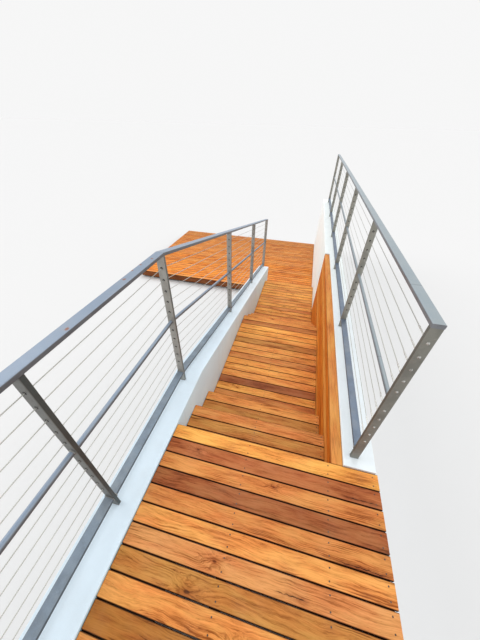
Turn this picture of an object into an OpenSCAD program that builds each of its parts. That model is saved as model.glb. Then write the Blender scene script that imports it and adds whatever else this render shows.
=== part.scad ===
// Timber deck stairs between two rendered walls, with a steel and wire balustrade on each wall.
//
// The stair goes down along +Y. Its own zero is the left end of the top landing's front edge,
// on the walking surface: X runs to the right across the boards, Y runs down the stair, Z is up.
// Every node is drawn there and then set with the middle of the whole footprint on the ground.
// Boards lie across the stair. A tread is three boards deep and each platform a whole number
// of boards, so every length along the stair follows from the board and the gap.

/* [Boards] */
// Width of a deck board
board_w = 90; // [70:1:140]
// Thickness of a deck board
board_t = 22; // [18:1:35]
// Gap between two boards
board_gap = 4; // [2:0.5:8]
// Chamfer along a board's upper edges
board_ease = 2; // [0.5:0.5:4]
// Gap between the boards' ends and the walls
end_gap = 2; // [1:0.5:6]

/* [Stair] */
// Clear width between the left wall and the cladding
clear_w = 1030; // [900:10:1300]
// Height of one step
riser_h = 182; // [160:1:195]
// Boards in one tread
tread_boards = 3; // [3:1:4]
// Boards in each long platform
platform_boards = 16; // [10:1:22]
// How far a board's edge stands out past the riser below it
nosing = 12; // [5:1:25]
// Thickness of the riser boards and fascias
riser_t = 22; // [18:1:30]

/* [Landing and lower deck] */
// Boards in the top landing
landing_boards_n = 20; // [16:1:26]
// How far the top landing reaches past the right wall's outer face
landing_side = 10; // [0:5:60]
// Boards from the last step to the house line
deck_boards_n = 32; // [20:1:40]
// How far the lower deck reaches to the left of the stair
deck_left = 3100; // [1200:50:4000]

/* [Framing timber] */
// Thickness of the joists
joist_w = 45; // [35:1:60]
// Depth of the joists under the steps, platforms and lower deck
joist_h = 90; // [70:5:120]
// Depth of the joists under the top landing
landing_joist_h = 120; // [90:5:160]
// Width and depth of the bearers
bearer = 90; // [70:5:120]
// Depth of the bearers that lie on the ground under the lower deck
ground_bearer_h = 60; // [45:5:90]
// Distance from the landing's ends to the middle of its bearers
bearer_inset = 300; // [150:10:450]

/* [Walls] */
// Thickness of the left wall
left_wall_t = 215; // [180:5:300]
// Thickness of the right wall behind the cladding
right_wall_t = 190; // [160:5:300]
// Height of the walls' tops above the landing's boards
wall_rise = 15; // [5:1:60]
// Where the left wall's top starts to fall, from the landing's front edge
slope_start_y = 486; // [400:2:600]
// Height of the left wall's far end above the lower deck
wall_end_h = 337; // [250:1:450]
// Deck boards that the left wall runs on past the last step
wall_run_boards = 4; // [2:1:8]

/* [Cladding] */
// Length of the timber cladding beside the stair
clad_len = 3300; // [2800:10:4000]
// Thickness of the cladding boards
clad_t = 22; // [18:1:30]
// Width of the cap on the cladding, which reaches from its face to the wall
cap_w = 70; // [60:1:110]
// Upright battens behind the cladding
batten_n = 5; // [4:1:8]

/* [Balustrade] */
// Width of the flat steel tube of the rails and posts
rail_w = 50; // [40:1:60]
// Thickness of that tube
rail_t = 20; // [16:1:30]
// Radius of that tube's corners
rail_corner = 4; // [1:0.5:6]
// Height of the top rail above the wall
rail_h = 1075; // [1000:5:1150]
// Height of the bottom rail's upper face above the wall
bottom_rail_h = 100; // [80:5:130]
// Height of the middle rail above the wall
mid_rail_h = 595; // [580:1:610]
// Diameter of the middle rail
mid_rail_d = 25; // [18:1:30]
// Diameter of the wires
wire_d = 4; // [3:0.5:6]
// Wires above the middle rail, and as many below it
wire_n = 5; // [3:1:5]
// Distance from the top rail's upper face down to the first wire
wire_drop = 95; // [60:1:120]
// Distance from the bottom rail's upper face up to the last wire
wire_lift = 110; // [60:1:140]
// Diameter of the vent hole near the top of each left post
vent_d = 8; // [6:1:12]
// Distance from the top rail down to the middle of the vent hole
vent_drop = 8; // [7:1:30]
// Room round the wires and the middle rail in the posts' holes, on the diameter
hole_room = 0.6; // [0.4:0.1:1]
// Distance from the left wall's face to the middle of its posts
left_post_in = 125; // [60:5:150]
// Distance from the right wall's face to the middle of its posts
right_post_in = 67; // [40:1:120]
// Length of the last level bay of the left balustrade
level_bay = 874; // [600:2:1200]
// Sloping bays of the left balustrade
slope_bays = 3; // [2:1:4]
// Distance from the bend of the left rail to the start of the wall's slope
bend_back = 124; // [60:2:200]
// Distance from a wall's end to the middle of the left balustrade's end posts
post_inset = 22; // [12:1:60]
// Distance from the right wall's near end to the middle of its first post
right_first_y = 72; // [30:2:150]
// Distance from the house line to the middle of the last right post
right_last_in = 347; // [100:1:600]
// Bays of the right balustrade
right_bays = 5; // [4:1:6]

/* [Hidden] */

timber = [0.80, 0.46, 0.20];
dark_timber = [0.56, 0.33, 0.17];
render_white = [0.93, 0.93, 0.92];
rail_grey = [0.52, 0.56, 0.62];
post_grey = [0.43, 0.41, 0.38];
wire_steel = [0.76, 0.77, 0.75];
$fn = 48;

// Steps: the landing is level 0, the platforms are levels 3 and 6, the lower deck is level 7
flight_risers = 3;
deck_level = 2 * flight_risers + 1;
pitch = board_w + board_gap;
going = tread_boards * pitch;
platform_len = platform_boards * pitch;
landing_len = landing_boards_n * pitch - board_gap;

function level_z(k) = -k * riser_h;
function nose_y(k) = k * going + floor(k / flight_risers) * (platform_len - going);

// The lower deck and the ground
deck_y = nose_y(deck_level - 1);
deck_end_y = deck_y + deck_boards_n * pitch;
deck_z = level_z(deck_level);
deck_frame_x = -deck_left + nosing + riser_t;
deck_frame_y = deck_y + board_gap + nosing + riser_t;
ground_z = deck_z - board_t - joist_h - ground_bearer_h;

// The walls
wall_end_y = deck_y + wall_run_boards * pitch;
wall_end_z = deck_z + wall_end_h;
slope_a = atan((wall_rise - wall_end_z) / (wall_end_y - slope_start_y));
right_wall_x = clear_w + cap_w;
right_face_x = right_wall_x + right_wall_t;
landing_w = right_face_x + landing_side;

// Middle of the footprint
centre_x = (landing_w - deck_left) / 2;
centre_y = (deck_end_y - landing_len) / 2;

// The cladding
clad_rows = ceil((-level_z(2 * flight_risers) - board_t) / pitch);
batten_t = cap_w - clad_t;

// The left balustrade
bend_y = slope_start_y - bend_back;
left_post_x = -left_post_in;
slope_bay = (wall_end_y - post_inset - bend_y) / slope_bays;
level_post_ys = [-landing_len + post_inset, bend_y - level_bay, bend_y];
slope_post_ys = [for (i = [1 : slope_bays]) bend_y + i * slope_bay];
left_post_ys = concat(level_post_ys, slope_post_ys);
last_left = len(left_post_ys) - 1;
under_bend_y = bend_y - rail_t * tan(slope_a / 2);

// The right balustrade
right_post_x = right_wall_x + right_post_in;
right_bay = (deck_end_y - right_last_in - right_first_y) / right_bays;
right_post_ys = [for (i = [0 : right_bays]) right_first_y + i * right_bay];

// The wires share the room from the middle rail up to the top rail and down to the bottom rail
wire_rooms = [bottom_rail_h + wire_lift - mid_rail_h, rail_h - wire_drop - mid_rail_h];
wire_hs = [for (room = wire_rooms) for (i = [1 : wire_n]) mid_rail_h + i * room / wire_n];

function wall_top_z(y) = wall_rise - max(0, y - slope_start_y) * tan(slope_a);
function run_z(h, y) = wall_rise + h - max(0, y - bend_y) * tan(slope_a);
function top_rail_under_z(y) =
    wall_rise + rail_h - max(rail_t, rail_t / cos(slope_a) + (y - bend_y) * tan(slope_a));

// From the stair's own zero to the middle of the footprint on the ground
module placed() {
    translate([-centre_x, -centre_y, -ground_z]) children();
}

// A plain stick of timber between two corners
module stick(low, high) {
    translate(low) cube(high - low);
}

// An outline in Y and Z, made width wide along X from x
module along_x(x, width) {
    translate([x, 0, 0]) rotate([90, 0, 90]) linear_extrude(width) children();
}

// Section of a board: its upper long edges are eased
module board_section(w, t) {
    polygon([[0, 0], [w, 0], [w, t - board_ease], [w - board_ease, t],
        [board_ease, t], [0, t - board_ease]]);
}

// A deck board from x0 to x1, its rear edge at y and its upper face at z
module deck_board(x0, x1, y, z) {
    translate([0, y, z - board_t]) along_x(x0, x1 - x0) board_section(board_w, board_t);
}

// Boards side by side across the stair, from y towards the house
module board_rows(n, x0, x1, y, z) {
    for (i = [0 : n - 1]) deck_board(x0, x1, y + i * pitch, z);
}

// The boards of one step or platform between the walls
module step_boards(level, n) {
    placed() color(timber)
        board_rows(n, end_gap, clear_w - end_gap, nose_y(level - 1) + board_gap, level_z(level));
}

module landing_boards() {
    placed() color(timber)
        board_rows(landing_boards_n, end_gap, landing_w, -landing_len, 0);
}

// The rows beside the left wall's end are in two lengths, one on each side of it
module lower_deck() {
    y = deck_y + board_gap;
    placed() color(timber) {
        board_rows(wall_run_boards, -deck_left, -left_wall_t - end_gap, y, deck_z);
        board_rows(wall_run_boards, end_gap, clear_w - end_gap, y, deck_z);
        board_rows(deck_boards_n - wall_run_boards, -deck_left, clear_w - end_gap,
            y + wall_run_boards * pitch, deck_z);
    }
}

// Riser under the front edge of the level above: it reaches down behind the lower joists
module riser(level) {
    y = nose_y(level - 1) - nosing;
    stick([0, y - riser_t, level_z(level) - board_t - joist_h],
        [clear_w, y, level_z(level - 1) - board_t]);
}

module risers(first, last) {
    placed() color(timber) for (level = [first : last]) riser(level);
}

// Three joists along the stair, from one riser's face to the back of the next
module step_joists(level) {
    z = level_z(level) - board_t;
    for (i = [0 : 2]) {
        x = i * (clear_w - joist_w) / 2;
        stick([x, nose_y(level - 1) - nosing, z - joist_h],
            [x + joist_w, nose_y(level) - nosing - riser_t, z]);
    }
}

module joists(first, last) {
    placed() color(dark_timber) for (level = [first : last]) step_joists(level);
}

// Bearer from wall to wall under the middle of a platform's joists
module platform_bearer(level) {
    y = (nose_y(level - 1) + nose_y(level)) / 2;
    z = level_z(level) - board_t - joist_h;
    placed() color(dark_timber)
        stick([0, y - bearer / 2, z - bearer], [clear_w, y + bearer / 2, z]);
}

// Three joists in line with the stair's stop at the first riser. A fourth lies on the right wall
module landing_joists() {
    placed() color(dark_timber) {
        for (i = [0 : 2]) landing_joist(i * (clear_w - joist_w) / 2, -nosing - riser_t);
        landing_joist(right_face_x - joist_w, 0);
    }
}

module landing_joist(x, front_y) {
    stick([x, -landing_len, -board_t - landing_joist_h], [x + joist_w, front_y, -board_t]);
}

landing_bearer_z = -board_t - landing_joist_h;
landing_bearer_ys = [-landing_len + bearer_inset, -bearer_inset];

// They hang from wall to wall, as the bearers of the platforms do
module landing_bearers() {
    placed() color(dark_timber) for (y = landing_bearer_ys)
        stick([0, y - bearer / 2, landing_bearer_z - bearer],
            [right_wall_x, y + bearer / 2, landing_bearer_z]);
}

// Joists of the lower deck: three in line with the stair, the rest left of the wall
module deck_joists() {
    left_n = 7;
    left_room = -left_wall_t - deck_frame_x - joist_w;
    placed() color(dark_timber) {
        for (i = [0 : left_n - 1]) {
            x = deck_frame_x + i * left_room / (left_n - 1);
            deck_joist(x, deck_frame_y);
        }
        for (i = [0 : 2]) deck_joist(i * (clear_w - joist_w) / 2, deck_y - nosing);
    }
}

module deck_joist(x, y) {
    stick([x, y, deck_z - board_t - joist_h], [x + joist_w, deck_end_y, deck_z - board_t]);
}

// Bearers on the ground, all past the left wall's end
module deck_bearers() {
    bearer_n = 4;
    room = deck_end_y - wall_end_y - 3 * bearer;
    placed() color(dark_timber) for (i = [0 : bearer_n - 1]) {
        y = wall_end_y + bearer + i * room / (bearer_n - 1);
        stick([deck_frame_x, y, ground_z], [clear_w, y + bearer, ground_z + ground_bearer_h]);
    }
}

fascia_z = deck_z - board_t - joist_h - ground_bearer_h / 2;

module front_fascia() {
    placed() color(timber)
        stick([deck_frame_x - riser_t, deck_frame_y - riser_t, fascia_z],
            [-left_wall_t, deck_frame_y, deck_z - board_t]);
}

module side_fascia() {
    placed() color(timber)
        stick([deck_frame_x - riser_t, deck_frame_y, fascia_z],
            [deck_frame_x, deck_end_y, deck_z - board_t]);
}

// Level beside the landing, then falling towards the lower deck
module left_wall() {
    placed() color(render_white) along_x(-left_wall_t, left_wall_t)
        polygon([[-landing_len, ground_z], [wall_end_y, ground_z], [wall_end_y, wall_end_z],
            [slope_start_y, wall_rise], [-landing_len, wall_rise]]);
}

// Level beside the stair, lower under the landing's outer joist, and thicker past the cladding,
// so that its face carries on in line
module right_wall() {
    placed() color(render_white) difference() {
        translate([0, 0, ground_z]) linear_extrude(wall_rise - ground_z)
            polygon([[right_wall_x, -landing_len], [right_face_x, -landing_len],
                [right_face_x, deck_end_y], [clear_w, deck_end_y], [clear_w, clad_len],
                [right_wall_x, clad_len]]);
        stick([right_wall_x - 1, -landing_len - 1, landing_bearer_z], [landing_w, 0, wall_rise + 1]);
    }
}

// A cladding board stands on edge and is eased along its two visible edges
module cladding_boards() {
    placed() color(timber) for (row = [0 : clad_rows - 1])
        translate([clear_w, clad_len, -board_t - row * pitch]) rotate([90, 0, 0])
            linear_extrude(clad_len)
                polygon([[board_ease, 0], [0, -board_ease], [0, board_ease - board_w],
                    [board_ease, -board_w], [clad_t, -board_w], [clad_t, 0]]);
}

module cladding_battens() {
    room = clad_len - joist_w;
    placed() color(dark_timber) for (i = [0 : batten_n - 1]) {
        y = i * room / (batten_n - 1);
        stick([clear_w + clad_t, y, -board_t - (clad_rows - 1) * pitch - board_w],
            [right_wall_x, y + joist_w, -board_t]);
    }
}

module cladding_cap() {
    placed() color(timber) translate([clear_w, clad_len, -board_t]) rotate([90, 0, 0])
        linear_extrude(clad_len) board_section(cap_w, board_t);
}

// A round bar or hole along the left balustrade: level up to the bend, then with the slope
module left_run(h, d, y0, y1) {
    if (y0 < bend_y) translate([left_post_x, y0, wall_rise + h]) rotate([-90, 0, 0])
        cylinder(h = min(y1, bend_y) - y0, d = d);
    if (y1 > bend_y) sloped_run(h, d, max(y0, bend_y), y1);
}

// The sloped part is cut off upright at both ends
module sloped_run(h, d, y0, y1) {
    intersection() {
        translate([left_post_x, y0, run_z(h, y0)]) rotate([-90 - slope_a, 0, 0])
            translate([0, 0, -d]) cylinder(h = (y1 - y0) / cos(slope_a) + 2 * d, d = d);
        translate([left_post_x - d, y0, run_z(h, y1) - 2 * d])
            cube([2 * d, y1 - y0, run_z(h, y0) - run_z(h, y1) + 4 * d]);
    }
}

// Points of a line that falls from a bend, between y0 and y1
function bent_points(y0, y1, bend, zs) =
    bend > y0 && bend < y1 ? [[y0, zs[0]], [bend, zs[1]], [y1, zs[2]]] : [[y0, zs[0]], [y1, zs[2]]];
function reversed(points) = [for (i = [len(points) - 1 : -1 : 0]) points[i]];

// Section of the flat tube, with its middle at zero
module tube_section() {
    square([rail_w - 2 * rail_corner, rail_t], center = true);
    square([rail_w, rail_t - 2 * rail_corner], center = true);
    for (x = [-1, 1]) for (y = [-1, 1])
        translate([x * (rail_w / 2 - rail_corner), y * (rail_t / 2 - rail_corner)])
            circle(rail_corner);
}

// A tube along Y, len long from zero, with its upper face at zero
module tube(len) {
    translate([0, len, -rail_t / 2]) rotate([90, 0, 0]) linear_extrude(len) tube_section();
}

// An upright tube from z0 to z1
module post_tube(x, y, z0, z1) {
    translate([x, y, z0]) linear_extrude(z1 - z0) tube_section();
}

// A tube with the slope of the left wall, h above it, that runs on past y0 and y1
module sloped_tube(h, y0, y1) {
    translate([left_post_x, y0, run_z(h, y0)]) rotate([-slope_a, 0, 0])
        translate([0, -rail_t, 0]) tube((y1 - y0) / cos(slope_a) + 2 * rail_t);
}

// A post cut to the wall under it and to the rail on it: the outline is wider than the tube
module left_post(i) {
    y = left_post_ys[i];
    y0 = y - rail_t;
    y1 = y + rail_t;
    foot = bent_points(y0, y1, slope_start_y,
        [wall_top_z(y0), wall_top_z(slope_start_y), wall_top_z(y1)]);
    head = bent_points(y0, y1, under_bend_y,
        [top_rail_under_z(y0), top_rail_under_z(under_bend_y), top_rail_under_z(y1)]);
    difference() {
        intersection() {
            post_tube(left_post_x, y, wall_top_z(y1), top_rail_under_z(y0));
            along_x(left_post_x - rail_w, 2 * rail_w) polygon(concat(foot, reversed(head)));
        }
        for (h = wire_hs) left_run(h, wire_d + hole_room, y0, y1);
        translate([left_post_x, y0, top_rail_under_z(y + rail_t / 2) - vent_drop])
            rotate([-90, 0, 0]) cylinder(h = y1 - y0, d = vent_d);
        if (i > 0 && i < last_left) left_run(mid_rail_h, mid_rail_d + hole_room, y0, y1);
    }
}

module left_posts() {
    placed() color(post_grey) for (i = [0 : last_left]) left_post(i);
}

left_rail_y0 = left_post_ys[0] - rail_t / 2;
left_rail_y1 = left_post_ys[last_left] + rail_t / 2;

// Plane of the top rail's mitre: where it lies, up from the rail's upper face
function mitre_y(up) = bend_y + up * tan(slope_a / 2);

// The two lengths of the top rail meet in a mitre over the post at the bend
module left_top_rail_level() {
    z = wall_rise + rail_h;
    placed() color(rail_grey) intersection() {
        translate([left_post_x, left_rail_y0, z]) tube(bend_y + rail_t - left_rail_y0);
        along_x(left_post_x - rail_w, 2 * rail_w)
            polygon([[left_rail_y0 - 1, z - rail_w], [mitre_y(-rail_w), z - rail_w],
                [mitre_y(rail_w), z + rail_w], [left_rail_y0 - 1, z + rail_w]]);
    }
}

module left_top_rail_sloped() {
    z = wall_rise + rail_h;
    fall = z - run_z(rail_h, left_rail_y1) + rail_w;
    placed() color(rail_grey) intersection() {
        sloped_tube(rail_h, bend_y, left_rail_y1);
        along_x(left_post_x - rail_w, 2 * rail_w)
            polygon([[mitre_y(-fall), z - fall], [left_rail_y1, z - fall],
                [left_rail_y1, z + rail_w], [mitre_y(rail_w), z + rail_w]]);
    }
}

// The middle rail runs through the posts between the two end posts
module left_mid_rail_level() {
    placed() color(rail_grey)
        left_run(mid_rail_h, mid_rail_d, left_post_ys[0] + rail_t / 2, bend_y);
}

module left_mid_rail_sloped() {
    placed() color(rail_grey)
        left_run(mid_rail_h, mid_rail_d, bend_y, left_post_ys[last_left] - rail_t / 2);
}

// One length of flat bottom rail in each bay, from post to post. On the slope its ends are upright
module left_bottom_rail(first, last) {
    placed() color(rail_grey) for (i = [first : last]) {
        y0 = left_post_ys[i] + rail_t / 2;
        y1 = left_post_ys[i + 1] - rail_t / 2;
        if (y1 < bend_y)
            translate([left_post_x, y0, wall_rise + bottom_rail_h]) tube(y1 - y0);
        else intersection() {
            sloped_tube(bottom_rail_h, y0, y1);
            stick([left_post_x - rail_w, y0, run_z(bottom_rail_h, y1) - rail_w],
                [left_post_x + rail_w, y1, run_z(bottom_rail_h, y0) + rail_w]);
        }
    }
}

module left_wires_level() {
    placed() color(wire_steel) for (h = wire_hs) left_run(h, wire_d, left_rail_y0, bend_y);
}

module left_wires_sloped() {
    placed() color(wire_steel) for (h = wire_hs) left_run(h, wire_d, bend_y, left_rail_y1);
}

// A level round bar or hole along the right balustrade
module right_run(h, d, y0, y1) {
    translate([right_post_x, y0, wall_rise + h]) rotate([-90, 0, 0]) cylinder(h = y1 - y0, d = d);
}

module right_post(i) {
    y0 = right_post_ys[i] - rail_t / 2;
    y1 = y0 + rail_t;
    difference() {
        post_tube(right_post_x, right_post_ys[i], wall_rise, wall_rise + rail_h - rail_t);
        for (h = wire_hs) right_run(h, wire_d + hole_room, y0 - 1, y1 + 1);
        if (i > 0 && i < right_bays)
            right_run(mid_rail_h, mid_rail_d + hole_room, y0 - 1, y1 + 1);
    }
}

module right_posts() {
    placed() color(post_grey) for (i = [0 : right_bays]) right_post(i);
}

right_rail_y0 = right_post_ys[0] - rail_t / 2;
right_rail_y1 = right_post_ys[right_bays] + rail_t / 2;

module right_top_rail() {
    placed() color(rail_grey) translate([right_post_x, right_rail_y0, wall_rise + rail_h])
        tube(right_rail_y1 - right_rail_y0);
}

module right_mid_rail() {
    placed() color(rail_grey)
        right_run(mid_rail_h, mid_rail_d, right_rail_y0 + rail_t, right_rail_y1 - rail_t);
}

module right_bottom_rail() {
    placed() color(rail_grey) for (i = [0 : right_bays - 1])
        translate([right_post_x, right_post_ys[i] + rail_t / 2, wall_rise + bottom_rail_h])
            tube(right_bay - rail_t);
}

module right_wires() {
    placed() color(wire_steel)
        for (h = wire_hs) right_run(h, wire_d, right_rail_y0, right_rail_y1);
}

left_wall();
right_wall();
landing_boards();
step_boards(1, tread_boards);  // tread_1
step_boards(2, tread_boards);  // tread_2
step_boards(3, platform_boards);  // upper_platform
step_boards(4, tread_boards);  // tread_3
step_boards(5, tread_boards);  // tread_4
step_boards(6, platform_boards);  // lower_platform
lower_deck();
risers(1, 3);  // upper_risers
risers(4, deck_level);  // lower_risers
joists(1, 2);  // upper_step_joists
joists(3, 3);  // upper_platform_joists
platform_bearer(3);  // upper_platform_bearer
joists(4, 5);  // lower_step_joists
joists(6, 6);  // lower_platform_joists
platform_bearer(6);  // lower_platform_bearer
landing_joists();
landing_bearers();
deck_joists();
deck_bearers();
front_fascia();
side_fascia();
cladding_boards();
cladding_battens();
cladding_cap();
left_posts();
left_top_rail_level();
left_top_rail_sloped();
left_mid_rail_level();
left_mid_rail_sloped();
left_bottom_rail(0, 1);  // left_bottom_rail_level
left_bottom_rail(2, last_left - 1);  // left_bottom_rail_sloped
left_wires_level();
left_wires_sloped();
right_posts();
right_top_rail();
right_mid_rail();
right_bottom_rail();
right_wires();
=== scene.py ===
"""Looks of the wooden deck stairs: boards, rendered walls and wire balustrades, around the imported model."""

import logging
import math
import random
from collections.abc import Iterable
from dataclasses import dataclass, field
from enum import Enum

import bmesh
import bpy
from mathutils import Matrix, Vector, noise


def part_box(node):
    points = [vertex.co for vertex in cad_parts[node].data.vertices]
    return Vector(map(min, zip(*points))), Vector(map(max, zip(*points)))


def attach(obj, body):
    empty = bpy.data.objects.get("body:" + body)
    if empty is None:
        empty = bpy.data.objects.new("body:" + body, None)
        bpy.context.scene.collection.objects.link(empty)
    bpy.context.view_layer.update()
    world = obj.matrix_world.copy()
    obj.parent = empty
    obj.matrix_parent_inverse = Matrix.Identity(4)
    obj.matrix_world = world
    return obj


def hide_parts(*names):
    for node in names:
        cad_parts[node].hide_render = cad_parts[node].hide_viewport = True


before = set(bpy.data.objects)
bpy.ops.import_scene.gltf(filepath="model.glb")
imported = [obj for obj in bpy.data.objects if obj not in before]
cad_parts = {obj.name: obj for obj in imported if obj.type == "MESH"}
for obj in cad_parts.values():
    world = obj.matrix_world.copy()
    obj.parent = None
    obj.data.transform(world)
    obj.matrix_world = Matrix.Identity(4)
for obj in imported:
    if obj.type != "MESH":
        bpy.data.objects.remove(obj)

logging.basicConfig(level=logging.INFO, format="%(message)s")
log = logging.getLogger("deck_stairs")

# The left end of the landing's front edge, from which the stairs were measured
STAIR = Vector((0.9, -2.634, 1.446))
BODY = "root"
DOWN_STAIRS, UP_STAIRS = Vector((0, 1, 0)), Vector((0, -1, 0))
# What each vertex of a board carries for its grain and its painted gap shade
LAYERS = ("lay", "tint", "board", "knot", "vein")
Rgb = tuple[int, int, int]
Point = tuple[float, float]
BMesh = bmesh.types.BMesh
Material = bpy.types.Material
NodeTree = bpy.types.NodeTree
Socket = bpy.types.NodeSocket
Value = Socket | float | tuple[float, ...]


def linear(colour: Rgb) -> tuple[float, float, float, float]:
    """Turns a colour as a screen shows it into what a shader takes.

    Args:
        colour: red, green and blue from 0 to 255.

    Returns:
        The linear colour, with an alpha of 1.
    """
    channels = [c / 255 for c in colour]
    red, green, blue = (c / 12.92 if c <= 0.04045 else ((c + 0.055) / 1.055) ** 2.4 for c in channels)
    return red, green, blue, 1.0


# ---- shader nodes ------------------------------------------------------------------------------


@dataclass
class Wiring:
    """A node tree that is being wired."""

    tree: NodeTree

    def add(self, kind: str, inputs: dict[str | int, Value] | None = None,
            **settings: object) -> bpy.types.Node:
        """Adds a node and sets it up.

        Args:
            kind: the node's type, without the words ShaderNode.
            inputs: values or sockets for the node's inputs.
            settings: the node's own properties.

        Returns:
            The node.
        """
        node = self.tree.nodes.new(kind if kind.startswith("Node") else "ShaderNode" + kind)
        for name, value in settings.items():
            setattr(node, name, value)
        for name, value in (inputs or {}).items():
            self.feed(node.inputs[name], value)
        return node

    def feed(self, socket: Socket, value: Value) -> None:
        """Links a socket to an input, or sets the input to a constant.

        Args:
            socket: the input.
            value: another node's output, or a number or colour.
        """
        if isinstance(value, Socket):
            self.tree.links.new(value, socket)
        elif socket.type == "RGBA" and isinstance(value, tuple) and len(value) == 3:
            socket.default_value = linear(value)
        else:
            socket.default_value = value

    def calc(self, operation: str, *values: Value) -> Socket:
        """Returns what a Math node with an operation such as POWER makes of its values."""
        return self.add("Math", dict(enumerate(values)), operation=operation).outputs[0]

    def times(self, first: Value, *others: Value) -> Socket:
        """Returns the product of two or more values."""
        for other in others:
            first = self.calc("MULTIPLY", first, other)
        return first

    def scaled(self, value: Value, factor: Value, offset: Value) -> Socket:
        """Returns a value times a factor, plus an offset."""
        return self.calc("MULTIPLY_ADD", value, factor, offset)

    def less(self, value: Value, other: Value) -> Socket:
        """Returns a value less another one."""
        return self.calc("SUBTRACT", value, other)

    def size(self, value: Value) -> Socket:
        """Returns a value without its sign."""
        return self.calc("ABSOLUTE", value)

    def reach(self, first: Value, second: Value) -> Socket:
        """Returns the length of a vector with two parts."""
        return self.calc("SQRT", self.calc("ADD", self.times(first, first), self.times(second, second)))

    def span(self, value: Value, low: float, high: float, to_low: float = 0.0,
             to_high: float = 1.0) -> Socket:
        """Maps a range smoothly onto another, and clamps outside it.

        Args:
            value: what is mapped.
            low: where the range starts.
            high: where it ends, which may be below its start.
            to_low: the result at the start.
            to_high: the result at the end.

        Returns:
            The mapped value.
        """
        node = self.add("MapRange", interpolation_type="SMOOTHSTEP")
        for socket, given in zip(node.inputs[:5], (value, low, high, to_low, to_high)):
            self.feed(socket, given)
        return node.outputs[0]

    def noise(self, vector: Value, scale: float | tuple[float, float, float], detail: float = 3.0,
              rough: float = 0.55) -> Socket:
        """Adds a noise.

        Args:
            vector: where it is read.
            scale: how fine it is per metre, the same all ways or along each axis.
            detail: its octaves.
            rough: how strong the finer octaves are.

        Returns:
            Its value, about 0.5.
        """
        if isinstance(scale, tuple):
            vector = self.add("VectorMath", {0: vector, 1: scale}, operation="MULTIPLY").outputs[0]
            scale = 1.0
        given = {"Vector": vector, "Scale": scale, "Detail": detail, "Roughness": rough}
        return self.add("TexNoise", given).outputs[0]

    def parts(self, vector: Value) -> list[Socket]:
        """Returns the x, y and z of a vector."""
        return list(self.add("SeparateXYZ", {0: vector}).outputs)

    def blend(self, factor: Value, first: Value, second: Value, kind: str = "MIX") -> Socket:
        """Mixes two colours.

        Args:
            factor: the second colour's share.
            first: a colour.
            second: another colour.
            kind: how they are mixed.

        Returns:
            The mixed colour.
        """
        node = self.add("Mix", data_type="RGBA", blend_type=kind)
        for socket, given in zip((node.inputs[0], node.inputs[6], node.inputs[7]), (factor, first, second)):
            self.feed(socket, given)
        return node.outputs[2]

    def coats(self, colour: Value, kind: str, layers: Iterable[tuple[Value, float, Value]]) -> Socket:
        """Lays tints over a colour, one after another.

        Args:
            colour: the colour.
            kind: how they are mixed in.
            layers: for each tint a mask, its share where the mask is 1, and the tint.

        Returns:
            The colour with the tints on it.
        """
        for mask, share, tint in layers:
            colour = self.blend(self.times(mask, share), colour, tint, kind)
        return colour

    def ramp(self, value: Value, stops: Iterable[tuple[float, Rgb]]) -> Socket:
        """Adds a colour ramp.

        Args:
            value: where the ramp is read.
            stops: places from 0 to 1 with their colours.

        Returns:
            The colour.
        """
        node = self.add("ValToRGB", {0: value})
        elements = node.color_ramp.elements
        elements.remove(elements[1])
        for index, (place, colour) in enumerate(stops):
            element = elements[0] if index == 0 else elements.new(place)
            element.position, element.color = place, linear(colour)
        return node.outputs[0]


@dataclass
class Effect:
    """A shader node group that several finishes use."""

    name: str
    inputs: dict[str, str]
    outputs: tuple[str, ...]

    def start(self) -> tuple[Wiring, dict[str, Socket]]:
        """Makes the group and its sockets.

        Returns:
            Its wiring, and its inputs by name.
        """
        w = Wiring(bpy.data.node_groups.new(self.name, "ShaderNodeTree"))
        for name, kind in self.inputs.items():
            w.tree.interface.new_socket(name, in_out="INPUT", socket_type="NodeSocket" + kind)
        for name in self.outputs:
            w.tree.interface.new_socket(name, in_out="OUTPUT", socket_type="NodeSocketFloat")
        entry = w.add("NodeGroupInput")
        return w, {name: entry.outputs[name] for name in self.inputs}

    def end(self, w: Wiring, *results: Socket) -> NodeTree:
        """Ends the group.

        Args:
            w: its wiring.
            results: what its outputs give.

        Returns:
            The group.
        """
        w.add("NodeGroupOutput", dict(zip(self.outputs, results)))
        return w.tree


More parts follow.
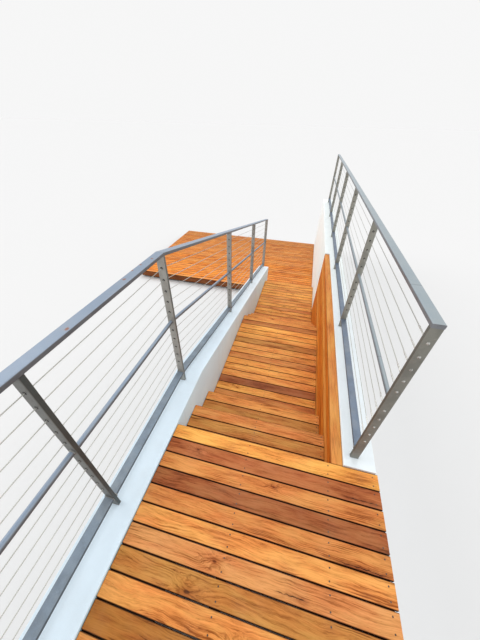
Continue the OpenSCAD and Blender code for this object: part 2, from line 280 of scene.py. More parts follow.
def wood_figure(ring_width: float = 0.0062, slow_swerve: float = 0.058, quick_swerve: float = 0.018,
                least_swerve: float = 0.004, knot_bend: float = 0.02, knot_length: float = 0.45) -> NodeTree:
    """Grain of a board, read in the board's own coordinates: along, across and through it.

    Knot and Vein give one place each on the board, along and across it, and a size, which is 0 for none.

    Args:
        ring_width: the distance between growth rings, in metres.
        slow_swerve: how far the grain strays over about 400 mm, in metres.
        quick_swerve: how far it strays over about 90 mm, on the waviest board.
        least_swerve: the same on the straightest board.
        knot_bend: how far a knot pushes the grain aside.
        knot_length: a knot's width by its length.

    Returns:
        The group, with growth rings, streaks, fibres, flecks, patches, knots, their halos, veins and smoke.
    """
    effect = Effect("wood_figure", {"Lay": "Vector", "Seed": "Float", "Knot": "Vector", "Vein": "Vector"},
                    ("Rings", "Streaks", "Fibres", "Flecks", "Patches", "Knots", "Halos", "Veins", "Smoke"))
    w, given = effect.start()
    lay, seed = given["Lay"], given["Seed"]
    along, across, through = w.parts(lay)
    knot_along, knot_across, knot_size = w.parts(given["Knot"])
    rough_edge = w.scaled(w.noise(lay, (30.0, 60.0, 60.0)), 0.9, 0.55)
    ahead = w.times(w.less(along, knot_along), knot_length)
    aside = w.less(across, knot_across)
    chosen = w.calc("GREATER_THAN", knot_size, 0.001)
    off_knot = w.times(w.reach(ahead, aside), rough_edge)
    apart = w.calc("DIVIDE", off_knot, w.calc("MAXIMUM", knot_size, 0.0001))
    near, eye, halo = (w.times(w.span(apart, outer, inner), chosen)
                       for outer, inner in ((5.0, 0.2), (0.75, 0.3), (2.4, 0.4)))

    bend = w.times(near, w.times(w.calc("SIGN", aside), knot_bend))
    slow = w.less(w.noise(lay, (2.6, 5.0, 5.0), 2.0), 0.5)
    quick = w.less(w.noise(lay, (11.0, 22.0, 22.0)), 0.5)
    wavy = w.scaled(w.calc("FRACT", w.times(seed, 3.7)), quick_swerve, least_swerve)
    flow = w.calc("ADD", across, w.scaled(slow, slow_swerve, w.scaled(quick, wavy, bend)))
    grain = w.add("CombineXYZ", {0: along, 1: flow, 2: through}).outputs[0]

    pith_side = w.scaled(seed, 0.2, -0.1)
    pith_deep = w.scaled(w.calc("FRACT", w.times(seed, 7.31)), 0.09, 0.01)
    radius = w.reach(w.calc("ADD", flow, pith_side), w.calc("ADD", through, pith_deep))
    lean = w.scaled(along, 0.02, w.scaled(near, 0.012, radius))
    wave = w.scaled(w.calc("SINE", w.times(lean, 2 * math.pi / ring_width)), 0.5, 0.5)
    shown = w.span(w.noise(lay, (2.2, 12.0, 12.0), 2.0), 0.45, 0.65)
    rings = w.times(w.calc("POWER", wave, 2.0), w.calc("MAXIMUM", shown, near))
    streaks = w.noise(grain, (3.4, 84.0, 84.0), 5.0, 0.64)
    fibres = w.noise(grain, (13.0, 250.0, 250.0), 3.0, 0.7)
    flecks = w.span(w.noise(grain, (26.0, 330.0, 330.0), 2.0, 0.6), 0.58, 0.70)
    patches = w.noise(lay, (3.6, 18.0, 18.0))

    vein_along, vein_across, vein_reach = w.parts(given["Vein"])
    from_mid = w.size(w.less(along, vein_along))
    room = w.span(w.calc("DIVIDE", from_mid, w.calc("MAXIMUM", vein_reach, 0.0001)), 1.0, 0.4)
    bow = w.scaled(w.noise(lay, (9.0, 0.0, 0.0), 4.0, 0.7), 0.03, -0.015)
    off = w.size(w.less(w.less(across, vein_across), bow))
    thick = w.scaled(w.noise(lay, (30.0, 0.0, 0.0), 2.0), 0.007, -0.0022)
    veins = w.times(w.span(w.less(off, w.times(thick, room)), 0.0012, -0.0006), room)
    smoke = w.times(w.span(off, 0.017, 0.0), room, w.span(patches, 0.3, 0.55))
    return effect.end(w, rings, streaks, fibres, flecks, patches, eye, halo, veins, smoke)


def mottle() -> NodeTree:
    """Clouds and fine specks of a metal or plaster surface.

    Returns:
        The group, with clouds, specks, pits and rust spots.
    """
    effect = Effect("mottle", {"Vector": "Vector", "Scale": "Float"}, ("Clouds", "Specks", "Pits", "Spots"))
    w, given = effect.start()
    place = w.add("VectorMath", {0: given["Vector"], "Scale": given["Scale"]}, operation="SCALE").outputs[0]
    cells = w.add("TexVoronoi", {"Vector": place, "Scale": 11.0}).outputs["Distance"]
    spot_room = w.span(w.noise(place, 0.35, 1.0), 0.56, 0.66)
    spots = w.times(w.span(w.noise(place, 5.0, 3.0, 0.65), 0.63, 0.72), spot_room)
    return effect.end(w, w.noise(place, 1.0, 4.0, 0.6), w.noise(place, 14.0, 3.0, 0.7),
                      w.span(cells, 0.1, 0.38), spots)


def dirt_and_facing_masks() -> NodeTree:
    """Dust on what faces up, streaks that run down what stands, and facing masks for painted light and shade.

    Returns:
        The group, with masks of dust, streaks, what faces up, down and across the stairs, and how far the
        surface looks to the right.
    """
    effect = Effect("dirt_and_facing_masks", {"Vector": "Vector"}, ("Dust", "Runs", "Up", "Down", "Across", "Aside"))
    w, given = effect.start()
    sideways, _, up = w.parts(w.add("NewGeometry").outputs["Normal"])
    top = w.span(up, 0.5, 0.95)
    dust = w.times(top, w.span(w.noise(given["Vector"], 7.0, 5.0, 0.65), 0.42, 0.72))
    standing = w.span(w.size(up), 0.4, 0.1)
    run = w.span(w.noise(given["Vector"], (16.0, 16.0, 0.7)), 0.54, 0.74)
    across = w.span(w.size(sideways), 0.6, 0.95)
    return effect.end(w, dust, w.times(standing, run), top, w.span(up, -0.2, -0.7), across, sideways)


EFFECTS = {"wood": wood_figure(), "mottle": mottle(), "dirt_and_facing": dirt_and_facing_masks()}


# ---- finishes ----------------------------------------------------------------------------------


@dataclass(frozen=True)
class Finish:
    """A surface of the stairs: what all its materials share."""

    name: str

    def begin(self) -> tuple[Wiring, Socket]:
        """Starts the material.

        Returns:
            Its wiring, and the place on the object in metres.
        """
        material = bpy.data.materials.new(self.name)
        material.use_nodes = True
        material.node_tree.nodes.clear()
        w = Wiring(material.node_tree)
        return w, w.add("TexCoord").outputs["Object"]

    def done(self, w: Wiring, surface: dict[str, Value], height: Value, depth: float) -> Material:
        """Adds the shader and its bump, which ends the material.

        Args:
            w: the material's wiring.
            surface: what the Principled shader's inputs get.
            height: the bump's height, from 0 to 1.
            depth: how deep the bump is, in metres.

        Returns:
            The material.
        """
        bump = w.add("Bump", {"Height": height, "Distance": depth, "Strength": 1.0})
        shader = w.add("BsdfPrincipled", surface | {"Normal": bump.outputs[0]})
        w.add("OutputMaterial", {"Surface": shader.outputs[0]})
        return bpy.data.materials[self.name]

    def effect(self, w: Wiring, name: str, **inputs: Value) -> dict[str, Socket]:
        """Places one of the shared effects.

        Args:
            w: the material's wiring.
            name: the effect's name.
            inputs: its inputs.

        Returns:
            Its outputs by name.
        """
        node = w.add("Group")
        node.node_tree = EFFECTS[name]
        for socket, value in inputs.items():
            w.feed(node.inputs[socket], value)
        return {output.name: output for output in node.outputs}


@dataclass(frozen=True)
class TimberFinish(Finish):
    """Timber with a tint for each board, and painted shade along its edges, in the gaps and underneath."""

    rough: float
    contrast: float
    relief: float = 0.0004
    dust: float = 0.05
    # how strong the painted shade along each board's edges is
    edge: float = 0.9
    sheen: float = 0.1
    pale: Rgb = (255, 255, 255)
    middle: Rgb = (229, 225, 215)
    deep: Rgb = (150, 128, 98)

    def material(self) -> Material:
        """Returns the timber's material."""
        w, place = self.begin()
        lay, tint, board, knot, vein = (w.add("Attribute", attribute_name=name).outputs for name in LAYERS)
        seed, half, below = w.parts(board["Vector"])
        figure = self.effect(w, "wood", Lay=lay["Vector"], Seed=seed, Knot=knot["Vector"],
                             Vein=vein["Vector"])
        dirt_and_facing = self.effect(w, "dirt_and_facing", Vector=place)

        red, green, _ = w.parts(tint["Color"])
        redness = w.span(w.calc("DIVIDE", red, green), 2.6, 3.1, 1.0, 1.9)
        patchy = w.times(w.less(figure["Patches"], 0.5), redness)
        shade = w.scaled(patchy, 0.9 * self.contrast, 0.5)
        for name, middle, share in (("Streaks", 0.5, 1.1), ("Fibres", 0.5, 1.1), ("Rings", 0.2, 0.32),
                                    ("Flecks", 0.12, 0.18)):
            shade = w.scaled(w.less(figure[name], middle), share * self.contrast, shade)
        grain = w.ramp(shade, ((0.1, self.pale), (0.5, self.middle), (1.0, self.deep)))
        mood = w.blend(w.span(figure["Patches"], 0.36, 0.64), (250, 255, 244), (255, 238, 228))
        colour = w.blend(1.0, w.blend(1.0, tint["Color"], grain, "MULTIPLY"), mood, "MULTIPLY")

        # Painted shade: dark along each board's edges, and on its sides in the gaps and underneath
        from_edge = w.less(half, w.size(w.parts(lay["Vector"])[1]))
        colour = w.coats(colour, "MULTIPLY", (
            (figure["Halos"], 0.6, (204, 160, 134)), (figure["Knots"], 0.8, (110, 76, 62)),
            (figure["Smoke"], 0.9, (168, 136, 128)), (figure["Veins"], 0.9, (44, 34, 34)),
            (w.span(from_edge, 0.0045, 0.001), self.edge, (70, 44, 34)),
            (w.span(below, 0.002, 0.007), 0.9, (40, 26, 22))))
        colour = w.coats(colour, "MIX", ((dirt_and_facing["Dust"], self.dust, (196, 170, 140)),))
        rough = w.scaled(figure["Streaks"], 0.3, self.rough - 0.15)
        height = w.scaled(figure["Fibres"], -0.5, w.times(figure["Flecks"], -0.4))
        height = w.less(height, w.times(figure["Veins"], 0.8))
        surface = {"Base Color": colour, "Roughness": rough, "Specular IOR Level": self.sheen}
        return self.done(w, surface, height, self.relief)


@dataclass(frozen=True)
class RenderFinish(Finish):
    """White painted render on masonry, with painted light in the tints on its top and its inner face.

    The inner face looks toward the stairs, to the right (1) or the left (-1). Masonry in the bare room, given
    by its low and high x, y and z, is left dark and unpainted, as painted shade under the landing.
    """

    # Painted light: the top's tint near and further down the stairs, and the inner face's tint
    top: Rgb
    far_top_light: Rgb
    inner: Rgb
    toward: int
    stain: Rgb
    paint: Rgb = (232, 237, 240)
    far: Point = (1.0, 3.0)
    splashed: float = 0.25
    relief: float = 0.0005
    # the room under the landing, which is painted dark as shade
    bare: tuple[Point, ...] = ((0.89, 2.02), (-4.6, -2.66), (-0.1, 1.42))

    def material(self) -> Material:
        """Returns the render's material, with dark bare masonry in the room under the landing as painted
        shade.
        """
        w, place = self.begin()
        sand = self.effect(w, "mottle", Vector=place, Scale=28.0)
        dirt_and_facing = self.effect(w, "dirt_and_facing", Vector=place)
        clouds = w.span(w.noise(place, 2.6, 5.0, 0.65), 0.4, 0.7)
        under = 1.0
        for coordinate, (low, high) in zip(w.parts(place), self.bare):
            within = w.times(w.calc("GREATER_THAN", coordinate, low), w.calc("LESS_THAN", coordinate, high))
            under = w.times(within, under)
        _, along, height_up = w.parts(place)
        away = w.span(along, *(STAIR.y + y for y in self.far))
        splash = w.times(w.span(height_up, self.splashed, 0.0),
                         w.span(w.noise(place, 5.0, 5.0, 0.7), 0.3, 0.7))

        # Painted light: a cool tint on the tops, brighter further down the stairs, and on the inner face a
        # tint that is cool on the left wall and warm on the right
        colour = w.blend(dirt_and_facing["Up"], self.paint, w.blend(away, self.top, self.far_top_light))
        inner_face_light = w.span(dirt_and_facing["Aside"], 0.6 * self.toward, 0.95 * self.toward)
        colour = w.blend(inner_face_light, colour, self.inner)
        colour = w.coats(colour, "MULTIPLY", (
            (clouds, 0.3, (240, 240, 240)), (w.span(sand["Specks"], 0.55, 0.75), 0.3, (230, 230, 230))))
        colour = w.coats(colour, "MIX", (
            (dirt_and_facing["Runs"], 0.10, self.stain), (dirt_and_facing["Dust"], 0.07, self.stain),
            (splash, 0.35, tuple(c * 3 // 4 for c in self.stain))))
        # Painted shade: the room under the landing is dark bare masonry
        colour = w.blend(under, colour, w.blend(clouds, (92, 84, 74), (66, 60, 52)))
        rough = w.scaled(sand["Specks"], 0.2, 0.68)
        height = w.scaled(sand["Clouds"], 0.7, w.times(sand["Specks"], 0.6))
        surface = {"Base Color": colour, "Roughness": rough, "Specular IOR Level": 0.25}
        return self.done(w, surface, height, self.relief)


@dataclass(frozen=True)
class SteelFinish(Finish):
    """Weathered steel: painted or bare.

    Its top faces get a pale tint, a painted reflection of the sky. Its faces across the stairs and those that
    look down are darkened as painted shade, and so is it up the stairs from a place near the landing's edge.
    Seams are welds across it, at places along the stairs. Stains are rust spots, at places across and along
    them.
    """

    base: Rgb
    dark: Rgb
    rough: float = 0.42
    metal: float = 0.15
    rust: float = 0.0
    grain: float = 55.0
    # painted reflection of the sky on the top faces: its tint and share
    sky_reflection_tint: Rgb = (142, 154, 168)
    sky_reflection_share: float = 0.0
    # painted shade on the faces across the stairs: its share and tint
    side_shade: float = 0.0
    side_shade_tint: Rgb = (132, 136, 136)
    # painted shade up the stairs from near the landing's edge: its share, and the place where it starts
    landing_shade: float = 0.0
    near: float = -0.1
    # painted shade on the faces that look down: its share
    under: float = 0.0
    flecked: float = 0.2
    seams: tuple[float, ...] = ()
    stains: tuple[Point, ...] = ()
    stain_height: float = 1.09
    relief: float = 0.0003

    def material(self) -> Material:
        """Returns the steel's material."""
        w, place = self.begin()
        along = w.parts(place)[1]
        skin = self.effect(w, "mottle", Vector=place, Scale=self.grain)
        dirt_and_facing = self.effect(w, "dirt_and_facing", Vector=place)
        patches = w.span(w.noise(place, 9.0, 4.0, 0.65), 0.38, 0.66)
        light = tuple(min(255, c + 30) for c in self.base)
        colour = w.coats(self.base, "MIX", (
            (patches, 0.5, self.dark), (w.span(skin["Specks"], 0.5, 0.74), 0.5, self.dark),
            # painted reflection of the sky: the pale tint on top faces
            (w.span(skin["Clouds"], 0.58, 0.78), 0.35, light), (dirt_and_facing["Up"], self.sky_reflection_share, self.sky_reflection_tint),
            (w.span(skin["Specks"], 0.56, 0.72), self.flecked, self.dark),
            (dirt_and_facing["Dust"], 0.15, (176, 172, 160))))
        # Painted shade: darker up the stairs from near the landing's edge, on faces across the stairs and on
        # faces that look down
        landing_shade_mask = w.span(along, STAIR.y + self.near, STAIR.y + self.near - 0.4)
        colour = w.coats(colour, "MULTIPLY", (
            (dirt_and_facing["Across"], self.side_shade, self.side_shade_tint), (landing_shade_mask, self.landing_shade, (134, 137, 138)),
            (dirt_and_facing["Down"], self.under, (60, 60, 60))))
        for seam in self.seams:
            off = w.size(w.less(along, STAIR.y + seam))
            colour = w.coats(colour, "MIX", (
                (w.span(off, 0.0035, 0.0012), 0.6, tuple(c * 3 // 5 for c in self.base)),))

        spots = w.times(skin["Spots"], self.rust)
        for spot in self.stains:
            middle = tuple(STAIR + Vector((*spot, self.stain_height)))
            off = w.add("VectorMath", {0: place, 1: middle}, operation="DISTANCE").outputs["Value"]
            ragged = w.times(off, w.scaled(skin["Clouds"], 2.6, -0.3))
            spots = w.calc("MAXIMUM", spots, w.span(ragged, 0.010, 0.003, 0.0, 0.85))
        colour = w.blend(spots, colour, (142, 88, 56))
        rough = w.scaled(spots, 0.3, w.scaled(skin["Clouds"], 0.25, self.rough - 0.12))
        height = w.scaled(skin["Pits"], 0.5, w.times(skin["Clouds"], 0.6))
        metal = w.scaled(spots, -self.metal, self.metal)
        surface = {"Base Color": colour, "Metallic": metal, "Roughness": rough}
        return self.done(w, surface, height, self.relief)


@dataclass(frozen=True)
class RopeFinish(Finish):
    """Steel rope: fine diagonal strands, so many to a metre along and round it."""

    base: Rgb
    along: float = 190.0
    around: float = 620.0
    relief: float = 0.0003

    def material(self) -> Material:
        """Returns the rope's material."""
        w, place = self.begin()
        x, y, z = w.parts(place)
        lie = w.calc("ADD", w.times(y, self.along), w.times(w.calc("ADD", x, z), self.around))
        strand = w.scaled(w.calc("SINE", w.times(lie, 2 * math.pi)), 0.5, 0.5)
        # Painted shade in the grooves between strands
        colour = w.blend(w.span(strand, 0.35, 0.0), self.base, tuple(c * 3 // 4 for c in self.base))
        surface = {"Base Color": colour, "Roughness": w.scaled(strand, -0.15, 0.5), "Metallic": 0.3}
        return self.done(w, surface, strand, self.relief)


class Look(Enum):
    """The materials of the stairs, each with the name of the slot that it is meant for."""

    BOARDS = (TimberFinish("oiled_decking", rough=0.5, contrast=1.25), "deck_timber")
    CLAD = (TimberFinish("oiled_cladding", rough=0.44, contrast=0.8, edge=0.35), "cladding_timber")
    FRAMING = (TimberFinish("sawn_framing", rough=0.75, contrast=0.9, relief=0.0008, dust=0.1),
               "frame_timber")
    # The walls' top and inner tints are painted light.
    LEFT_WALL = (RenderFinish("white_render_left", top=(225, 241, 252), far_top_light=(238, 248, 255),
                              inner=(214, 243, 255), toward=1, stain=(178, 172, 162)), "wall_render")
    RIGHT_WALL = (RenderFinish("white_render_right", top=(240, 248, 252), far_top_light=(248, 255, 255),
                               inner=(246, 255, 255), toward=-1, stain=(178, 168, 152)), "wall_render")
    # Painted light on the steel: a sky reflection on top faces, and shade on the sides, underneath and near
    # the landing
    LEFT_RAILS = (SteelFinish("left_rail_steel", (134, 138, 144), (104, 108, 114), rust=0.4,
                              sky_reflection_tint=(130, 148, 170), sky_reflection_share=0.8, side_shade=0.65, under=0.7, seams=(0.364,),
                              stains=((-0.130, 0.041), (-0.146, 0.128), (-0.140, 0.194), (-0.122, 0.274),
                                      (-0.112, -0.318))), "rail_paint")
    RIGHT_RAILS = (SteelFinish("right_rail_steel", (134, 138, 144), (104, 108, 114), rust=0.4,
                               sky_reflection_tint=(142, 156, 163), sky_reflection_share=0.8, side_shade=0.35, under=0.7, seams=(0.364,)),
                   "rail_paint")
    # The bottom rails' colours are darker copies of the rail steel, the right one darkest: painted shade.
    LEFT_LOW_RAILS = (SteelFinish("left_low_rail_steel", (120, 135, 149), (84, 94, 106), rust=0.3, side_shade=0.85,
                                  under=0.9, flecked=0.7), "rail_paint")
    RIGHT_LOW_RAILS = (SteelFinish("right_low_rail_steel", (98, 113, 132), (76, 88, 104), rust=0.3, side_shade=0.5,
                                   under=0.9), "rail_paint")
    LEFT_POSTS = (SteelFinish("left_post_steel", (174, 174, 168), (128, 128, 123), rough=0.48, rust=1.0,
                              side_shade=0.9, side_shade_tint=(128, 148, 154), landing_shade=0.82), "post_paint")
    # The right posts' darker colour is painted shade.
    RIGHT_POSTS = (SteelFinish("right_post_steel", (164, 165, 156), (124, 125, 118), rough=0.48, rust=1.0,
                               side_shade=0.7, landing_shade=0.4, near=0.8), "post_paint")
    NUTS = (SteelFinish("nut_steel", (206, 206, 202), (140, 138, 132), rough=0.28, metal=0.7, rust=0.2,
                        grain=160.0), "wire_steel")
    WELDS = (SteelFinish("weld_steel", (150, 152, 150), (96, 92, 86), rough=0.5, metal=0.4, rust=1.0,
                         grain=120.0), "post_paint")
    SCREWS = (SteelFinish("screw_steel", (92, 66, 48), (60, 42, 32), rough=0.5, metal=0.5, grain=200.0),
              "deck_timber")
    # near-black, painted shade in holes and screw recesses
    GROMMETS = (SteelFinish("hole_shade_black", (34, 32, 32), (22, 22, 22), rough=0.6, metal=0.0, grain=200.0),
                "post_paint")
    SEALS = (SteelFinish("grey_seal", (168, 170, 172), (132, 134, 136), rough=0.75, metal=0.0, grain=90.0),
             "wall_render")
    LEFT_WIRES = (RopeFinish("left_rope_steel", (194, 195, 188)), "wire_steel")
    RIGHT_WIRES = (RopeFinish("right_rope_steel", (184, 184, 176)), "wire_steel")

    def __init__(self, finish: Finish, slot: str) -> None:
        """Names the look's finish and its slot."""
        self.finish, self.slot = finish, slot

    def material(self) -> Material:
        """Returns the look's material, made when it is first asked for."""
        return bpy.data.materials.get(self.finish.name) or self.finish.material()


# ---- meshes ------------------------------------------------------------------------------------


def finished(name: str, bm: BMesh, looks: list[Look], nodes: Iterable[str] = (),
             smooth: float = 0.0) -> bpy.types.Object:
    """Makes a piece from a mesh, dresses it and puts it on the body.

    Args:
        name: the piece's name.
        bm: its mesh, which is freed.
        looks: its materials, one for each of its material slots in order.
        nodes: the CAD nodes that it stands for.
        smooth: the angle in degrees up to which edges are shaded smooth, or 0.

    Returns:
        The piece.
    """
    mesh = bpy.data.meshes.new(name)
    bm.to_mesh(mesh)
    bm.free()
    if smooth:
        mesh.shade_smooth()
        mesh.set_sharp_from_angle(angle=math.radians(smooth))
    piece = bpy.data.objects.new(name, mesh)
    bpy.context.scene.collection.objects.link(piece)
    for look in looks:
        mesh.materials.append(look.material())
    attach(piece, BODY)
    if nodes:
        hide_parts(*nodes)
    log.info("%s: %d faces", name, len(mesh.polygons))
    return piece


def carried(look: Look, *nodes: str) -> None:
    """Dresses CAD nodes that stay as they are.

    Args:
        look: their material.
        nodes: their names.
    """
    for node in nodes:
        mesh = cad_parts[node].data
        mesh.materials.clear()
        mesh.materials.append(look.material())
        log.info("%s: carried over", node)


def merged(node: str) -> BMesh:
    """Copies a CAD node's mesh as a closed one with its flat faces whole.

    Args:
        node: the node's name.

    Returns:
        The copy.
    """
    bm = bmesh.new()
    bm.from_mesh(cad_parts[node].data)
    bmesh.ops.remove_doubles(bm, verts=bm.verts, dist=1e-5)
    bmesh.ops.dissolve_limit(bm, angle_limit=math.radians(0.5), verts=bm.verts, edges=bm.edges)
    return bm


@dataclass(frozen=True)
class Box:
    """The box of one solid, in metres."""

    low: Vector
    high: Vector

    @property
    def mid(self) -> Vector:
        """Its middle."""
        return (self.low + self.high) / 2

    @property
    def size(self) -> Vector:
        """Its three lengths."""
        return self.high - self.low

    def spans(self, place: float, axis: int) -> bool:
        """Says whether a place along an axis, from 0 to 2, lies in the box."""
        return self.low[axis] <= place <= self.high[axis]


def solids(*nodes: str) -> list[Box]:
    """Finds the separate solids of CAD nodes.

    Args:
        nodes: the nodes' names.

    Returns:
        Their boxes, node by node, in order of y, z and x.
    """
    found = []
    for node in nodes:
        bm = merged(node)
        left = set(bm.verts)
        boxes = []
        while left:
            front = [left.pop()]
            group = list(front)
            while front:
                for edge in front.pop().link_edges:
                    for vert in left.intersection(edge.verts):
                        left.discard(vert)
                        front.append(vert)
                        group.append(vert)
            boxes.append(Box(*(Vector([end(v.co[axis] for v in group) for axis in range(3)])
                               for end in (min, max))))
        bm.free()
        found += sorted(boxes, key=lambda b: (round(b.mid.y, 3), round(b.mid.z, 3), b.mid.x))
    return found


def add_mesh(bm: BMesh, extra: BMesh) -> None:
    """Adds one mesh to another and frees it.

    Args:
        bm: the mesh that grows.
        extra: the mesh that goes into it.
    """
    holder = bpy.data.meshes.new("holder")
    extra.to_mesh(holder)
    extra.free()
    bm.from_mesh(holder)
    bpy.data.meshes.remove(holder)


def eased(bm: BMesh, edges: list[bmesh.types.BMEdge], ease: float, segments: int) -> None:
    """Rounds edges of a mesh.

    Args:
        bm: the mesh.
        edges: its edges.
        ease: their radius.
        segments: the faces round an edge.
    """
    bmesh.ops.bevel(bm, geom=edges, offset=ease, offset_type="OFFSET", segments=segments, profile=0.5,
                    affect="EDGES", material=-1, clamp_overlap=True)


def block(box: Box, ease: float) -> BMesh:
    """Makes a block with its edges rounded.

    Args:
        box: its box.
        ease: the radius of its edges.

    Returns:
        The block.
    """
    bm = bmesh.new()
    placing = Matrix.Translation(box.mid) @ Matrix.Diagonal((*box.size, 1.0))
    bmesh.ops.create_cube(bm, size=1.0, matrix=placing)
    eased(bm, list(bm.edges), ease, 2)
    return bm


def turned(place: Vector, axis: Vector) -> Matrix:
    """Returns the placing of a small part at a place, with its own Z axis turned to look along another."""
    return Matrix.Translation(place) @ axis.to_track_quat("Z", "Y").to_matrix().to_4x4()


def disc(profile: Iterable[Point], segments: int, placing: Matrix) -> BMesh:
    """Turns a profile about Z into a closed part.

    Args:
        profile: radius and height of each point from the bottom to the top, on the axis at both ends.
        segments: faces round the axis.
        placing: where the part goes.

    Returns:
        The part.
    """
    bm = bmesh.new()
    verts = [bm.verts.new((radius, 0.0, height)) for radius, height in profile]
    edges = [bm.edges.new(pair) for pair in zip(verts, verts[1:])]
    bmesh.ops.spin(bm, geom=[*verts, *edges], cent=(0, 0, 0), axis=(0, 0, 1), angle=2 * math.pi,
                   steps=segments, use_merge=True)
    bmesh.ops.remove_doubles(bm, verts=bm.verts, dist=1e-6)
    bmesh.ops.recalc_face_normals(bm, faces=bm.faces)
    bm.transform(placing)
    return bm


# ---- timber ------------------------------------------------------------------------------------


class Tone(Enum):
    """The colour of a board where its grain is palest."""

    GOLD = (252, 178, 94)
    HONEY = (240, 163, 92)
    BLUSH = (232, 158, 100)
    ORANGE = (226, 149, 86)
    OLIVE = (208, 144, 78)
    TAN = (206, 134, 76)
    BROWN = (178, 114, 56)
    RED = (188, 112, 70)
    DARK = (172, 104, 65)
    AMBER = (240, 144, 52)
    RESIN = (232, 132, 44)
    RAW = (126, 98, 70)
    # dark brown that is painted shade on fascias and framing
    STALE = (92, 70, 50)

    def mixed(self, other: "Tone", share: float) -> Vector:
        """Returns the linear colour of the tone with a share of another in it."""
        return Vector(linear(self.value)[:3]).lerp(Vector(linear(other.value)[:3]), share)


@dataclass(frozen=True)
class Mark:
    """A knot or a dark vein of a board: its place from the board's middle, and its size."""

    along: float
    across: float
    size: float


@dataclass
class Timber:
    """The boards or sticks of one CAD node, each with its own grain.

    Tones, knots and veins are given by a board's number, from the last board when it is negative. All other
    boards take a tone between two. Light brightens them all as painted light, and fade darkens the last ones.
    """

    node: str
    look: Look
    tones: dict[int, Tone] = field(default_factory=dict)
    knots: dict[int, Mark] = field(default_factory=dict)
    veins: dict[int, Mark] = field(default_factory=dict)
    others: tuple[Tone, Tone] = (Tone.HONEY, Tone.TAN)
    shown: int = 1
    light: float = 1.0
    fade: float = 0.0
    ease: float = 0.0025
    uneven: float = 0.0012
    beside: float = 0.12
    knot_share: float = 0.3
    vein_share: float = 0.12
    knot_sizes: Point = (0.004, 0.01)
    vein_sizes: Point = (0.05, 0.15)

    def build(self) -> bpy.types.Object:
        """Builds the piece.

        Returns:
            The piece, which stands for the CAD node.
        """
        rng = random.Random(self.node)
        bm = bmesh.new()
        boxes = solids(self.node)
        for index, box in enumerate(boxes):
            names = (index, index - len(boxes))
            tone, knot, vein = (next((marked[name] for name in names if name in marked), None)
                                for marked in (self.tones, self.knots, self.veins))
            spots = [Mark(rng.uniform(-0.4, 0.4) * max(box.size), rng.uniform(-0.03, 0.03),
                          rng.uniform(*sizes)) for sizes in (self.knot_sizes, self.vein_sizes)]
            chances = (rng.random(), rng.random())
            if not tone:
                knot = knot or (spots[0] if chances[0] < self.knot_share else None)
                vein = vein or (spots[1] if chances[1] < self.vein_share else None)
            first, second = (tone, tone) if tone else self.others
            tint = first.mixed(second, rng.random())
            # painted light: light brightens each board, and fade darkens the last ones
            tint *= rng.uniform(0.94, 1.06) * (self.light - self.fade * index / len(boxes))
            ends = [not 0 <= other < len(boxes) or abs(boxes[other].mid.y - box.mid.y) > self.beside
                    for other in (index - 1, index + 1)]
            add_mesh(bm, self.board(box, tint, (knot, vein), ends, rng))
        return finished(self.node + "_timber", bm, [self.look], [self.node])

    def board(self, box: Box, tint: Vector, marks: tuple[Mark | None, Mark | None], ends: list[bool],
              rng: random.Random) -> BMesh:
        """Makes one board with its grain's coordinates and the depth for its painted gap shade.

        Args:
            box: the CAD solid's box.
            tint: its linear colour.
            marks: its knot and its dark vein, if it has them.
            ends: whether its lower and its upper long side have no board beside them.
            rng: gives the small differences between boards.

        Returns:
            The board.
        """
        run, wide, thick = sorted(range(3), key=lambda axis: -box.size[axis])
        low, high = box.low.copy(), box.high.copy()
        low[run] += rng.uniform(0.0, self.uneven)
        high[run] -= rng.uniform(0.0, self.uneven)
        high[2] -= rng.uniform(0.0, self.uneven / 3)
        bm = block(Box(low, high), self.ease)
        shift, seed = rng.uniform(-40.0, 40.0), rng.random()
        places = [Vector((mark.along + shift, mark.across, mark.size)) if mark else Vector()
                  for mark in marks]
        layers = [bm.verts.layers.float_vector.new(name) for name in LAYERS]
        for vert in bm.verts:
            from_mid = vert.co - box.mid
            through = from_mid[thick] * self.shown
            # depth below the top, for painted shade on the sides in a gap and underneath
            below = 0.0 if ends[from_mid[wide] > 0] else box.size[thick] / 2 - through
            lay = (from_mid[run] + shift, from_mid[wide], through)
            for layer, value in zip(layers, (lay, tint, (seed, box.size[wide] / 2, below), *places)):
                vert[layer] = value
        return bm


